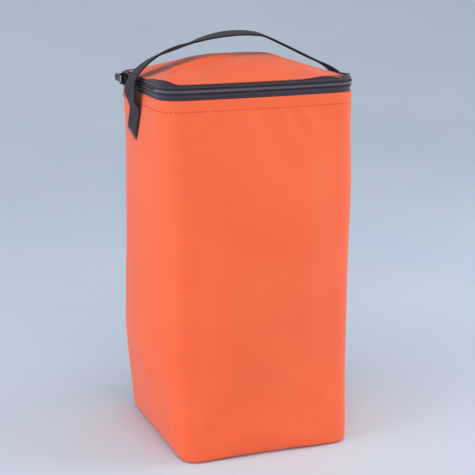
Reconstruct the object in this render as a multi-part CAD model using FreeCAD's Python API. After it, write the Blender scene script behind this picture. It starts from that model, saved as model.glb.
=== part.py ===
import FreeCAD, Part
import math
import os

# Soft, foam-padded zippered storage bag for marine distress signals, standing upright.
# Millimetres. Seen from the front, +X points to the right, +Y away to the back and +Z up.
# The origin lies on the surface that the bag stands on, in the middle of the base panel's depth
# and base_shift_x to the left of the middle of its width.

V = FreeCAD.Vector
UP = V(0, 0, 1)

# ---------------------------------------------------------------- driving dimensions: the bag's body
base_width = 150.0            # corner to corner along X, at the floor
base_depth = 150.0
base_corner_front = 12.0      # plan radius of the front corners at the floor
base_corner_back = 16.0
base_shift_x = 2.0            # the base panel's middle, to the right of the origin
mouth_width = 166.0           # at the zipper
mouth_depth = 126.0
mouth_corner_front = 18.0
mouth_corner_back = 24.0
mouth_shift_x = -5.0          # the filled bag leans a little to its left
mouth_shift_y = -13.0         # and its back wall slopes forward
mouth_front_crown = 2.0       # how far the front and back edges bow out at the mouth
cover_height = 300.0          # floor to the cover's hem, where the zipper begins
side_belly = 8.0              # how far the padded sides bow out at mid height
front_belly = 9.0             # the same at the front and back
belly_rounding = 13.0         # extra plan radius of the corners at mid height
foot_spread = 9.0             # how far the filling spreads the wall just above the base seam
foot_rise = 17.0              # height over which that spread comes in

# ---------------------------------------------------------------- walls
cover_thickness = 1.2         # coated orange fabric
foam_thickness = 6.0
lining_thickness = 0.8
base_foam_thickness = 8.0
straight_rim = 12.0           # plain upright stretch of the wall below the cover's hem
least_corner = 2.5            # smallest plan radius of an inset outline
least_crown = 0.01            # a side that bows out less than this is straight
BODY_STATIONS = [0.0, 0.07, 0.2, 0.43, 0.68, 0.88, 1.0]   # heights of the loft's sections

# ---------------------------------------------------------------- zipper
zip_visible = 14.0            # visible height of the closed zipper band
zip_seam = 6.0                # tape hidden behind the cover's hem
tape_thickness = 1.0
tape_gap = 1.6                # between the edges of the two closed tapes
tooth_proud = 2.0             # how far the teeth stand out of the tape
tooth_width = 1.3             # along the zipper
tooth_pitch = 3.6             # from one tooth to the next of the same row
tooth_length = 3.4            # tape to tip
tooth_gap = 0.7               # half the open gap between rows that don't mesh
tooth_mesh = 0.5              # how far a meshing tip reaches past the centre line
zip_back_margin = 12.0        # the zipper stops this far in front of the hinge edge
stop_length = 3.0
stop_margin = 1.0             # stop to the end of the tape

# ---------------------------------------------------------------- slider and pull
slider_length = 12.0
slider_height = 11.0
slider_wing = 1.6             # thickness of the outer wing
slider_inner_wing = 1.4
slider_clearance = 0.3        # round the teeth and the tapes
slider_setback = 19.0         # zipper's left end to its middle when the bag is closed, just behind the handle
slider_corner = 1.5           # rounding of its wings
post_width = 3.0              # the post between its wings
post_height = 0.8
pull_length = 17.0
pull_width = 6.0
pull_thickness = 1.2
pull_hole = 1.5               # radius of the hole near its tip
pull_hole_margin = 4.0        # the hole's middle to the tip
pull_tip_round = 0.45         # rounding of the tip, as a share of the width
pivot_radius = 0.7
pivot_clearance = 0.15
eye_wall = 0.45               # of the pull's eye round the pin
eye_gap = 0.25                # eye to the wing behind it
lug_thickness = 1.2
lug_reach = 1.2               # how far a lug stands out past the pin's middle
lug_width = 2.8
pivot_setback = 2.0           # the pin sits this far behind the slider's middle

# ---------------------------------------------------------------- lid
lid_rise = 12.5               # top of the dome above the zipper's upper edge
lid_turn = 54.0               # how far in from its edge the dome keeps rising
DOME_STATIONS = [0, 0.15, 0.35, 0.6, 0.85, 0.97]    # places of its sections on the way in
dome_round_front = 0.42       # largest plan radius of a section, as a share of its depth
dome_round_back = 0.46
DOME_DEGREE = 3               # of the surface through its sections
lid_rim_gap = 0.4             # half the gap between the rims at the hinge
hinge_band_drop = 12.0        # how far the hinge binding reaches over the cover
hinge_band_thickness = 1.0

# ---------------------------------------------------------------- webbing handle
webbing_width = 25.0
webbing_thickness = 1.8
handle_centre_y = -1.5
tail_drop = 13.0              # cover's hem down to the top of the sewn tails
tail_length = 31.0
axis_drop = 3.0               # tail top down to the line that the loop bends about
handle_lean = 12.0            # degrees that the loop leans forward
loop_rise = 63.7              # from the bending line up to the crown, along the lean
loop_seat = 3.5               # how far the loop reaches down over a tail, below its bending line
loop_seat_gap = 0.5           # between a tail and the loop laid over it
loop_pass_gap = 0.5           # between the loop and the pull's eye passing under it
loop_foot_ease = 0.8          # how far the loop has left the tail where its curve begins
loop_shoulder_ease = 4.5      # and where it turns up into the right shoulder
# The arch from left to right: place across as a share of half the mouth's width, height as
# a share of loop_rise, and the webbing's roll about its own line in degrees.
LOOP_ARCH = [
    (-1.030, 0.589, 6), (-0.904, 0.683, 14), (-0.735, 0.769, 22), (-0.554, 0.848, 22),
    (-0.325, 0.948, 15), (-0.084, 1.000, 9), (0.157, 0.997, 6), (0.349, 0.939, 6),
    (0.554, 0.832, 4), (0.783, 0.705, 3), (1.025, 0.565, 0), (1.157, 0.408, 0),
    (1.211, 0.298, 0), (1.175, 0.181, 0)]
LOOP_LEFT_LEG = [(0.204, 0), (0.345, -1), (0.479, 0)]    # heights and rolls of the left leg

# ---------------------------------------------------------------- derived heights and places
rim_start = cover_height - straight_rim
tail_top = cover_height - tail_drop
tail_bottom = tail_top - tail_length
handle_axis_z = tail_top - axis_drop
zip_centre = cover_height + zip_visible / 2
zip_top = cover_height + zip_visible
body_top = zip_centre - lid_rim_gap
lid_bottom = zip_centre + lid_rim_gap
lid_top = zip_top + lid_rise
tape_inset = cover_thickness
channel_inset = tape_inset + tape_thickness + slider_clearance + slider_inner_wing + slider_clearance
foam_inner = cover_thickness + foam_thickness
wall_thickness = foam_inner + lining_thickness
base_stack = cover_thickness + base_foam_thickness + lining_thickness
mouth_left = mouth_shift_x - mouth_width / 2
mouth_right = mouth_shift_x + mouth_width / 2
mouth_front = mouth_shift_y - mouth_depth / 2
mouth_back = mouth_shift_y + mouth_depth / 2
zip_end_y = mouth_back - zip_back_margin
slider_rest_y = zip_end_y - slider_setback
slider_low = zip_centre - slider_height / 2
slider_high = zip_centre + slider_height / 2
channel_floor = slider_low - slider_clearance
channel_roof = slider_high + slider_clearance
slider_face = mouth_left + tape_inset - tooth_proud - slider_clearance
slider_skin = slider_face - slider_wing
tape_back = mouth_left + tape_inset + tape_thickness
eye_radius = pivot_radius + pivot_clearance + eye_wall
pivot_x = slider_skin - eye_gap - eye_radius
pivot_y = slider_rest_y + pivot_setback
loop_pass_x = pivot_x - eye_radius - loop_pass_gap - webbing_thickness / 2
FAR = 400.0


# ---------------------------------------------------------------- plan sections and lofts
def section(z, width, depth, front_radius, back_radius, crown_x, crown_y, centre_x, centre_y):
    """Closed wire at height z: a rounded rectangle whose sides bow out by their crowns."""
    hw, hd = width / 2, depth / 2

    def turn(crown, half):
        return 2 * math.atan2(crown, half)

    def corner(sx, sy, radius):
        ax = turn(crown_x, hd - radius)
        ay = turn(crown_y, hw - radius)
        cx = hw - radius * math.cos(ax)
        cy = hd - radius * math.cos(ay)
        angles = (ax, (ax + math.pi / 2 - ay) / 2, math.pi / 2 - ay)
        points = []
        for a in angles:
            x = cx + radius * math.cos(a)
            y = cy + radius * math.sin(a)
            points.append(V(centre_x + sx * x, centre_y + sy * y, z))
        return points

    right_back = corner(1, 1, back_radius)
    left_back = corner(-1, 1, back_radius)[::-1]
    left_front = corner(-1, -1, front_radius)
    right_front = corner(1, -1, front_radius)[::-1]
    corners = [right_back, left_back, left_front, right_front]
    outward = [V(0, 1, 0), V(-1, 0, 0), V(0, -1, 0), V(1, 0, 0)]
    crowns = [crown_y, crown_x, crown_y, crown_x]
    edges = []
    for i in range(4):
        a, b = corners[i], corners[(i + 1) % 4]
        edges.append(Part.Arc(a[0], a[1], a[2]).toShape())
        middle = (a[2] + b[0]) * 0.5 + outward[i] * crowns[i]
        if crowns[i] > least_crown:
            edges.append(Part.Arc(a[2], middle, b[0]).toShape())
        else:
            edges.append(Part.LineSegment(a[2], b[0]).toShape())
    return Part.Wire(edges)


def blend_size(start, end, t):
    return start + (end - start) * t


def body_sizes(z):
    """Width, depth, front and back corner radius, crowns and centre of the body at height z."""
    t = min(z / rim_start, 1.0)
    belly = math.sin(math.pi * t)
    spread = foot_spread * (1 - t) * (1 - math.exp(-z / foot_rise))
    rounding = belly_rounding * belly
    return (blend_size(base_width, mouth_width, t) + spread,
            blend_size(base_depth, mouth_depth, t) + spread / 3,
            blend_size(base_corner_front, mouth_corner_front, t) + rounding,
            blend_size(base_corner_back, mouth_corner_back, t) + rounding,
            side_belly * belly,
            front_belly * belly + mouth_front_crown * t,
            blend_size(base_shift_x, mouth_shift_x, t),
            mouth_shift_y * t)


def body_section(z, inset=0.0):
    """Section of the bag's body at height z, moved inwards by inset."""
    width, depth, front, back, crown_x, crown_y, centre_x, centre_y = body_sizes(z)
    return section(z, width - 2 * inset, depth - 2 * inset,
                   max(front - inset, least_corner), max(back - inset, least_corner),
                   crown_x, crown_y, centre_x, centre_y)


def side_face(z, side):
    """X of the cover's outer face at the middle of a side wall."""
    width, _, _, _, crown_x, _, centre_x, _ = body_sizes(z)
    return centre_x + side * (width / 2 + crown_x)


def body_form(inset=0.0, top=lid_top):
    """The whole body, inset from its outer face, as one upright solid from the floor to top."""
    wires = [body_section(rim_start * t, inset) for t in BODY_STATIONS]
    lower = Part.makeLoft(wires, True, False)
    upper = Part.Face(body_section(rim_start, inset)).extrude(V(0, 0, top - rim_start))
    return lower.fuse(upper).removeSplitter()


def slab(z0, z1, x0=-FAR, x1=FAR, y0=-FAR, y1=FAR):
    return Part.makeBox(x1 - x0, y1 - y0, z1 - z0, V(x0, y0, z0))


def rim_form(inset, z0, z1):
    """Upright prism of the mouth's outline between two heights."""
    wire = body_section(rim_start, inset)
    wire.translate(V(0, 0, z0 - rim_start))
    return Part.Face(wire).extrude(V(0, 0, z1 - z0))


def rim_ring(outer, inner, z0, z1):
    return rim_form(outer, z0, z1).cut(rim_form(inner, z0, z1))


def front_part(shape):
    """What lies in front of the zipper's two ends."""
    return shape.common(slab(-FAR, FAR, y1=zip_end_y))


def back_part(shape):
    return shape.common(slab(-FAR, FAR, y0=zip_end_y))


def single(shape):
    """The shape's one solid, or all of them as a compound."""
    solids = shape.Solids
    return solids[0] if len(solids) == 1 else Part.makeCompound(solids)


FORM_OUTER = body_form(0.0)
FORM_FOAM = body_form(cover_thickness)
FORM_LINING = body_form(foam_inner)
FORM_HOLLOW = body_form(wall_thickness)


# ---------------------------------------------------------------- body and base
def make_body_cover():
    wall = FORM_OUTER.cut(FORM_FOAM)
    return wall.common(slab(cover_thickness, cover_height))


def make_body_foam():
    """Padding between cover and lining, notched behind the zipper for the slider's inner wing."""
    wall = FORM_FOAM.cut(FORM_LINING).common(slab(base_stack, body_top - lining_thickness))
    tape_seat = rim_ring(0, tape_inset + tape_thickness, cover_height - zip_seam, body_top)
    channel = rim_ring(0, channel_inset, channel_floor, body_top)
    return wall.cut(front_part(tape_seat)).cut(front_part(channel))


def make_body_lining():
    wall = FORM_LINING.cut(FORM_HOLLOW)
    return wall.common(slab(base_stack, body_top))


def make_mouth_facing():
    """Binding laid over the padding's top edge, between the zipper channel and the lining."""
    low = body_top - lining_thickness
    front = front_part(rim_ring(channel_inset, foam_inner, low, body_top))
    back = back_part(rim_ring(cover_thickness, foam_inner, low, body_top))
    return front.fuse(back).removeSplitter()


def make_base_cover():
    return FORM_OUTER.common(slab(0, cover_thickness))


def make_base_foam():
    return FORM_FOAM.common(slab(cover_thickness, base_stack - lining_thickness))


def make_base_lining():
    return FORM_FOAM.common(slab(base_stack - lining_thickness, base_stack))


def make_hinge_band_lower():
    over = rim_ring(-hinge_band_thickness, 0, cover_height - hinge_band_drop, body_top)
    edge = rim_ring(0, cover_thickness, cover_height, body_top)
    return back_part(over).fuse(back_part(edge)).removeSplitter()


# ---------------------------------------------------------------- zipper
def make_lower_tape():
    top = zip_centre - tape_gap / 2
    ring = rim_ring(tape_inset, tape_inset + tape_thickness, cover_height - zip_seam, top)
    return front_part(ring)


def make_upper_tape():
    bottom = zip_centre + tape_gap / 2
    ring = rim_ring(tape_inset, tape_inset + tape_thickness, bottom, zip_top)
    return front_part(ring)


def zip_path():
    """Edges of the tape's outline from the left back corner round the front to the right one."""
    edges = body_section(rim_start, tape_inset).OrderedEdges
    return edges[2:] + edges[:1]


def end_run():
    """Length of the tape between the start of the corner's curve and the end of the zipper."""
    radius = mouth_corner_back - tape_inset
    rise = zip_end_y - (mouth_back - mouth_corner_back)
    return radius * (math.pi / 2 - math.asin(rise / radius))


def zip_stations(start, count):
    """Points and tangents at one pitch from each other along the zipper."""
    path = zip_path()
    stations = []
    for i in range(count):
        s = start + i * tooth_pitch
        for edge in path:
            if s <= edge.Length:
                break
            s -= edge.Length
        parameter = edge.getParameterByLength(s)
        stations.append((edge.valueAt(parameter), edge.tangentAt(parameter)))
    return stations


def tooth(point, tangent, z_root, z_tip):
    """One moulded tooth: a bar standing out of the tape, its root in the tape's plane."""
    outward = V(tangent.y, -tangent.x, 0)
    if outward.dot(V(point.x - mouth_shift_x, point.y - mouth_shift_y, 0)) < 0:
        outward = outward * -1
    low, high = min(z_root, z_tip), max(z_root, z_tip)
    half = tangent * (tooth_width / 2)
    a = V(point.x, point.y, low)
    corners = [a - half, a + half, a + half + outward * tooth_proud, a - half + outward * tooth_proud]
    face = Part.Face(Part.makePolygon(corners + [corners[0]]))
    return face.extrude(V(0, 0, high - low))


def make_teeth(side):
    """A row of teeth. side is +1 for the lid's row and -1 for the body's.

    Round the front and right the tips mesh past the centre line. Along the slider's
    stretch on the left they stop short of it, so that the post passes between them.
    """
    margin = end_run() + 2 * stop_length
    total = sum(edge.Length for edge in zip_path())
    phase = 0.0 if side > 0 else tooth_pitch / 2
    start = math.ceil(margin / tooth_pitch) * tooth_pitch + phase
    count = int((total - margin - start) / tooth_pitch)
    teeth = []
    for point, tangent in zip_stations(start, count):
        in_travel = point.x < mouth_shift_x and point.y > mouth_front + mouth_corner_front
        reach = -tooth_gap if in_travel else tooth_mesh
        tip = zip_centre - side * reach
        root = zip_centre + side * (tooth_length - tooth_mesh)
        teeth.append(tooth(point, tangent, root, tip))
    return Part.makeCompound(teeth)


# ---------------------------------------------------------------- lid
def dome_form(inset):
    """Cushion of the lid above the zipper: a parabola from its edge in to a small crown."""
    wires = []
    rise = lid_rise - inset
    for share in DOME_STATIONS:
        step = lid_turn * share
        depth = mouth_depth - 2 * (inset + step)
        front = min(mouth_corner_front - inset, dome_round_front * depth)
        back = min(mouth_corner_back - inset, dome_round_back * depth)
        wires.append(section(
            zip_top + rise * (1 - (1 - share) ** 2), mouth_width - 2 * (inset + step), depth,
            front, back, 0, mouth_front_crown * (1 - share), mouth_shift_x, mouth_shift_y))
    return Part.makeLoft(wires, True, False, False, DOME_DEGREE)


def make_lid_cover():
    return dome_form(0.0).cut(dome_form(cover_thickness))


def make_lid_foam():
    dome = dome_form(cover_thickness)
    upper = rim_form(tape_inset, channel_roof, zip_top)
    lower = front_part(rim_form(channel_inset, lid_bottom + lining_thickness, channel_roof))
    behind = back_part(rim_form(tape_inset, lid_bottom + lining_thickness, channel_roof))
    core = dome.fuse([upper, lower, behind]).removeSplitter()
    tape_seat = rim_ring(0, tape_inset + tape_thickness, lid_bottom, zip_top)
    return core.cut(front_part(tape_seat))


def make_lid_lining():
    front = front_part(rim_form(channel_inset, lid_bottom, lid_bottom + lining_thickness))
    back = back_part(rim_form(cover_thickness, lid_bottom, lid_bottom + lining_thickness))
    return front.fuse(back).removeSplitter()


def make_hinge_band_upper():
    edge = rim_ring(0, cover_thickness, lid_bottom, zip_top)
    over = rim_ring(-hinge_band_thickness, 0, lid_bottom, zip_top)
    return back_part(over).fuse(back_part(edge)).removeSplitter()


# ---------------------------------------------------------------- handle
def make_tail(side):
    """Sewn end of the webbing, following the padded side. side is -1 for left, +1 for right."""
    skin = body_form(-webbing_thickness).cut(FORM_OUTER)
    y0 = handle_centre_y - webbing_width / 2
    x0, x1 = (-FAR, 0) if side < 0 else (0, FAR)
    return skin.common(slab(tail_bottom, tail_top, x0, x1, y0, y0 + webbing_width))


def loop_keys():
    """X, height above the bending line and roll of the loop, from the left foot to the right one."""
    seat = webbing_thickness * 1.5 + loop_seat_gap
    left = side_face(handle_axis_z - loop_seat, -1) - seat
    right = side_face(handle_axis_z - loop_seat, 1) + seat
    keys = [(left, -loop_seat, 0), (left, 0, 0), (left - loop_foot_ease / 2, loop_seat, 0)]
    keys += [(loop_pass_x, share * loop_rise, roll) for share, roll in LOOP_LEFT_LEG]
    for across, share, roll in LOOP_ARCH:
        keys.append((mouth_shift_x + across * mouth_width / 2, share * loop_rise, roll))
    keys += [(right + loop_shoulder_ease, loop_seat * 1.6, 0), (right + loop_foot_ease, loop_seat * 0.6, 0),
             (right, -loop_seat * 0.3, 0), (right, -loop_seat, 0)]
    return keys


def make_handle_loop():
    """Free webbing from one tail over the lid to the other, leaning forward above its bending line."""
    keys = loop_keys()
    lean = math.tan(math.radians(handle_lean))
    middle = Part.BSplineCurve()
    middle.interpolate([V(x, 0, h) for x, h, _ in keys])
    wires = []
    for x, h, roll in keys:
        tangent = V(*middle.tangent(middle.parameter(V(x, 0, h)))[0])
        down = V(0, 1, 0).cross(tangent)
        turn = math.radians(roll)
        wide = V(0, math.cos(turn), 0) + down * math.sin(turn)
        face = wide.cross(tangent)
        centre = V(x, handle_centre_y - h * lean, handle_axis_z + h)
        across, through = wide * (webbing_width / 2), face * (webbing_thickness / 2)
        corners = [centre - across - through, centre + across - through,
                   centre + across + through, centre - across + through]
        wires.append(Part.makePolygon(corners + [corners[0]]))
    return Part.makeLoft(wires, True, False)


# ---------------------------------------------------------------- slider
def edges_along_x(shape):
    return [e for e in shape.Edges if abs(e.tangentAt(e.FirstParameter).x) > 0.9]


def make_slider():
    y0 = slider_rest_y - slider_length / 2
    outer = slab(slider_low, slider_high, slider_skin, slider_face, y0, y0 + slider_length)
    inner_x = tape_back + slider_clearance
    inner = slab(slider_low, slider_high, inner_x, inner_x + slider_inner_wing, y0, y0 + slider_length)
    outer = outer.makeFillet(slider_corner, edges_along_x(outer))
    inner = inner.makeFillet(slider_corner, edges_along_x(inner))
    post_y = y0 + slider_length - post_width
    z0 = zip_centre - post_height / 2
    post = slab(z0, z0 + post_height, slider_face, inner_x, post_y, post_y + post_width)
    lugs = []
    for sign in (-1, 1):
        z = zip_centre + sign * (pull_width / 2 + pivot_clearance + lug_thickness / 2)
        lug = slab(z - lug_thickness / 2, z + lug_thickness / 2, pivot_x - lug_reach, slider_skin,
                   pivot_y - lug_width / 2, pivot_y + lug_width / 2)
        lugs.append(lug)
    height = pull_width + 2 * (pivot_clearance + lug_thickness)
    pin = Part.makeCylinder(pivot_radius, height, V(pivot_x, pivot_y, zip_centre - height / 2), UP)
    return single(outer.fuse([inner, post, pin] + lugs).removeSplitter())


def make_pull():
    """Flat tab on the slider's upright pin, trailing backwards."""
    x0 = pivot_x - pull_thickness / 2
    z0 = zip_centre - pull_width / 2
    plate = slab(z0, z0 + pull_width, x0, x0 + pull_thickness, pivot_y, pivot_y + pull_length)
    tip = [e for e in edges_along_x(plate) if e.CenterOfMass.y > pivot_y + pull_length / 2]
    plate = plate.makeFillet(pull_width * pull_tip_round, tip)
    hole = Part.makeCylinder(pull_hole, pull_thickness * 3, V(
        x0 - pull_thickness, pivot_y + pull_length - pull_hole_margin, zip_centre), V(1, 0, 0))
    eye = Part.makeCylinder(eye_radius, pull_width, V(pivot_x, pivot_y, z0), UP)
    bore = Part.makeCylinder(pivot_radius + pivot_clearance, pull_width, V(pivot_x, pivot_y, z0), UP)
    return single(plate.cut(hole).fuse(eye).cut(bore).removeSplitter())


def make_stops():
    """Crimped metal stops at the lower tape's two ends."""
    stops = []
    for x, sign in ((mouth_left, -1), (mouth_right, 1)):
        y1 = zip_end_y - stop_margin
        ring = rim_ring(tape_inset - tooth_proud, tape_inset, zip_centre - tooth_length,
                        zip_centre - tape_gap / 2)
        x0, x1 = (-FAR, 0) if sign < 0 else (0, FAR)
        stops.append(ring.common(slab(-FAR, FAR, x0, x1, y1 - stop_length, y1)))
    return Part.makeCompound([s for shape in stops for s in shape.Solids])


# ---------------------------------------------------------------- write the nodes
def main():
    os.makedirs("parts", exist_ok=True)
    nodes = {
        "body_cover": make_body_cover(),
        "body_foam": make_body_foam(),
        "body_lining": make_body_lining(),
        "mouth_facing": make_mouth_facing(),
        "base_cover": make_base_cover(),
        "base_foam": make_base_foam(),
        "base_lining": make_base_lining(),
        "hinge_band_lower": make_hinge_band_lower(),
        "lower_zip_tape": make_lower_tape(),
        "lower_zip_teeth": make_teeth(-1),
        "zip_end_stops": make_stops(),
        "handle_tail_left": make_tail(-1),
        "handle_tail_right": make_tail(1),
        "lid_cover": make_lid_cover(),
        "lid_foam": make_lid_foam(),
        "lid_lining": make_lid_lining(),
        "hinge_band_upper": make_hinge_band_upper(),
        "upper_zip_tape": make_upper_tape(),
        "upper_zip_teeth": make_teeth(1),
        "handle_loop": make_handle_loop(),
        "slider": make_slider(),
        "pull_tab": make_pull(),
    }
    for name, shape in nodes.items():
        shape = single(shape)
        box = shape.optimalBoundingBox()
        print(name, "solids", len(shape.Solids), "valid", shape.isValid(), "volume", round(shape.Volume),
              "z", round(box.ZMin, 1), round(box.ZMax, 1))
        shape.exportStep("parts/" + name + ".step")


main()
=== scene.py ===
# %% [markdown]
# # A padded zippered bag for marine distress signals
# The imported model gives every part its real place, so the first step is to load it.

# %% Load the imported model
import math

import bpy
import numpy as np
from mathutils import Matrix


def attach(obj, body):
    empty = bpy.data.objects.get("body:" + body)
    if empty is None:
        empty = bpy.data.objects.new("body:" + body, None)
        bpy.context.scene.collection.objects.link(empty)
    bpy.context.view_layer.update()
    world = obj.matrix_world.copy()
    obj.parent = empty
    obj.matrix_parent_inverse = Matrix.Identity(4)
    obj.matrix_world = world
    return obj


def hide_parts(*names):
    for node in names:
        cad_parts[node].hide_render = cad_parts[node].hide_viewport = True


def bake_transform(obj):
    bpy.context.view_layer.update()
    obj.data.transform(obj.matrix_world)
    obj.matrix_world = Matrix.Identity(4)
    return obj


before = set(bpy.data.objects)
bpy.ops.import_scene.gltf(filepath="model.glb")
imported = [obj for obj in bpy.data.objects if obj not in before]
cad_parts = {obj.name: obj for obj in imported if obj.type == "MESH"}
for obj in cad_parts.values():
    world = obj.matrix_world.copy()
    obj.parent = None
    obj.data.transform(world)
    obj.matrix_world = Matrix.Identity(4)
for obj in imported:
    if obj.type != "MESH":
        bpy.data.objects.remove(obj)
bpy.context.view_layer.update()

# %% [markdown]
# ## Sizes of the bag
# These are the sewing pattern's own sizes in millimetres. A bag maker thinks in millimetres,
# so the shapes below are worked out in them and turned into metres when a mesh is made.

# %% Name the sizes
MM = 0.001
base_width, base_depth = 150.0, 150.0
base_corner_front, base_corner_back, base_shift_x = 12.0, 16.0, 2.0
mouth_width, mouth_depth = 166.0, 126.0
mouth_corner_front, mouth_corner_back = 18.0, 24.0
mouth_shift_x, mouth_shift_y = -5.0, -13.0
mouth_front_crown = 2.0
side_belly, front_belly, belly_rounding = 8.0, 9.0, 13.0
foot_spread, foot_rise = 9.0, 17.0
rim_start, cover_height, zip_centre, zip_top = 288.0, 300.0, 307.0, 314.0
lid_rise, lid_turn = 12.5, 54.0
webbing_width, webbing_thickness = 25.0, 1.8
handle_centre_y = -1.5
mouth_left = mouth_shift_x - mouth_width / 2
mouth_right = mouth_shift_x + mouth_width / 2
mouth_front = mouth_shift_y - mouth_depth / 2
mouth_back = mouth_shift_y + mouth_depth / 2
zip_end_y = mouth_back - 12.0
print("mouth from", mouth_left, "to", mouth_right, "and", mouth_front, "to", mouth_back)

# %% [markdown]
# ## The outline of the bag
# Seen from above, the bag is a rounded rectangle whose padded sides bow out. One function
# gives that outline for many heights at once. It could also be drawn as a curve and lofted,
# but arrays of points let the same outline carry the cover, the tapes and the stitches. All
# the heights go through the same sums side by side, so there is no loop over points.

# %% Work out the outline
def outline(width, depth, front_radius, back_radius, crown_x, crown_y, centre_x, centre_y):
    """Rounded rectangle, anticlockwise from the middle of the back.

    A corner point is the corner's centre plus radius times (cos a, sin a). A side point is
    the straight line between two corners plus crown times 4 s (1 - s). All inputs are
    columns with one row per height.
    """
    hw, hd = width / 2, depth / 2
    turn = np.linspace(0, 1, 12)[None, :]
    run = np.linspace(0, 1, 34)[None, 1:-1]

    def corner(sx, sy, radius, forward):
        low = 2 * np.arctan2(crown_x, hd - radius)
        high = np.pi / 2 - 2 * np.arctan2(crown_y, hw - radius)
        a = low + (high - low) * (turn if forward else 1 - turn)
        x = hw - radius * np.cos(low) + radius * np.cos(a)
        y = hd - radius * np.sin(high) + radius * np.sin(a)
        return np.stack([sx * x, sy * y], -1)

    def side(start, end, normal, crown):
        line = start[:, None, :] + (end - start)[:, None, :] * run[..., None]
        bow = crown * 4 * run * (1 - run)
        return line + bow[..., None] * np.array(normal)

    left_back = corner(-1, 1, back_radius, False)
    left_front = corner(-1, -1, front_radius, True)
    right_front = corner(1, -1, front_radius, False)
    right_back = corner(1, 1, back_radius, True)
    back = side(right_back[:, -1], left_back[:, 0], (0, 1), crown_y)
    left = side(left_back[:, -1], left_front[:, 0], (-1, 0), crown_x)
    front = side(left_front[:, -1], right_front[:, 0], (0, -1), crown_y)
    right = side(right_front[:, -1], right_back[:, 0], (1, 0), crown_x)
    half = back.shape[1] // 2
    ring = np.concatenate([back[:, half:], left_back, left, left_front, front,
                           right_front, right, right_back, back[:, :half]], 1)
    return ring + np.stack([centre_x, centre_y], -1)


# %% [markdown]
# ## Even spacing, and the outline at a height
# Points at equal distances make faces of equal size, which cloth needs to swell evenly. The
# second function says how width, depth, corners and belly change on the way up: straight
# from base to mouth, plus a half wave for the belly and a soft start at the foot.

# %% Space the points and shape the body
def even(ring, count):
    """The same closed outlines with points at equal distances along them."""
    closed = np.concatenate([ring, ring[:, :1]], 1)
    steps = np.linalg.norm(np.diff(closed, axis=1), axis=2)
    walked = np.concatenate([np.zeros((len(ring), 1)), np.cumsum(steps, 1)], 1)
    made = []
    for row, far in zip(closed, walked):
        at = np.arange(count) * far[-1] / count
        made.append(np.stack([np.interp(at, far, row[:, 0]), np.interp(at, far, row[:, 1])], -1))
    return np.array(made)


def body_outline(z, inset, count=180):
    """Outline of the bag's body at heights z, moved inwards by inset, as rows of (x, y)."""
    z, inset = np.broadcast_arrays(np.asarray(z, float), np.asarray(inset, float))
    z, inset = z.reshape(-1, 1), inset.reshape(-1, 1)
    t = np.clip(z / rim_start, 0, 1)
    belly = np.sin(np.pi * t)
    spread = foot_spread * (1 - t) * (1 - np.exp(-np.clip(z, 0, None) / foot_rise))
    front_radius = base_corner_front + (mouth_corner_front - base_corner_front) * t
    back_radius = base_corner_back + (mouth_corner_back - base_corner_back) * t
    ring = outline(
        base_width + (mouth_width - base_width) * t + spread - 2 * inset,
        base_depth + (mouth_depth - base_depth) * t + spread / 3 - 2 * inset,
        np.maximum(front_radius + belly_rounding * belly - inset, 1.5),
        np.maximum(back_radius + belly_rounding * belly - inset, 1.5),
        side_belly * belly, front_belly * belly + mouth_front_crown * t,
        base_shift_x + (mouth_shift_x - base_shift_x) * t, mouth_shift_y * t)
    return even(ring, count)


waist = body_outline(150.0, 0.0)[0]
print("at half height the bag is", np.ptp(waist, axis=0).round(1), "mm across")

# %% [markdown]
# ## From a grid of points to a mesh
# Most pieces are a sheet of points with rows and columns. These helpers join the points
# with four-sided faces, close a ring of columns or a pole, and put the mesh in the scene.

# %% Turn grids into meshes
def grid_faces(rows, columns, ring=True):
    """Four-sided faces between neighbouring rows; the last column joins the first in a ring."""
    i = np.arange(rows - 1)[:, None]
    j = np.arange(columns if ring else columns - 1)[None, :]
    k = (j + 1) % columns
    low, high = i * columns, (i + 1) * columns
    return np.stack([low + j, low + k, high + k, high + j], -1).reshape(-1, 4).tolist()


def end_faces(rows, columns):
    """One many-sided face over the first row of a ring grid and one over the last."""
    return [list(range(columns))[::-1], list(range((rows - 1) * columns, rows * columns))]


def put_mesh(name, points, faces):
    """A smooth-shaded object from points in millimetres and its faces."""
    mesh = bpy.data.meshes.new(name)
    mesh.from_pydata((np.asarray(points).reshape(-1, 3) * MM).tolist(), [], faces)
    mesh.update()
    mesh.polygons.foreach_set("use_smooth", [True] * len(mesh.polygons))
    piece = bpy.data.objects.new(name, mesh)
    bpy.context.scene.collection.objects.link(piece)
    return piece


def ring_solid(name, points):
    """A mesh from closed rows, with a face over the first row and one over the last."""
    rows, columns = points.shape[:2]
    return put_mesh(name, points, grid_faces(rows, columns) + end_faces(rows, columns))


def stack_rows(rings, heights):
    """Rows of (x, y) and one height for each, as rows of (x, y, z)."""
    z = np.broadcast_to(np.asarray(heights, float).reshape(-1, 1), rings.shape[:2])
    return np.concatenate([rings, z[..., None]], -1)


def refine(piece):
    """Subdivide once, the same in the view and in the render."""
    modifier = piece.modifiers.new("smoother", "SUBSURF")
    modifier.levels = modifier.render_levels = 1


print("a closed grid of 3 rows and 4 columns has", len(grid_faces(3, 4)), "faces")

# %% [markdown]
# ## The padded cover
# The real cover is orange coated cloth over foam, turned in at the mouth and seamed to a
# base panel. One surface runs from the middle of the base, round the foot, up the wall,
# over the folded hem and a little way down inside. Its rows are heights and insets. It could
# be sculpted by hand, but a formula keeps every seam where the sewing pattern has it. Soft
# steps and bells are the two curves from which all the local fullness is made.

# %% Two soft curves and the foot
def step(value, at, width):
    """0 below at, 1 above it, over a soft width."""
    return 1 / (1 + np.exp(-(value - at) / width))


def near(value, centre, spread):
    """1 at centre, falling to 0 like a bell over spread."""
    return np.exp(-((value - centre) / spread) ** 2)


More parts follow.
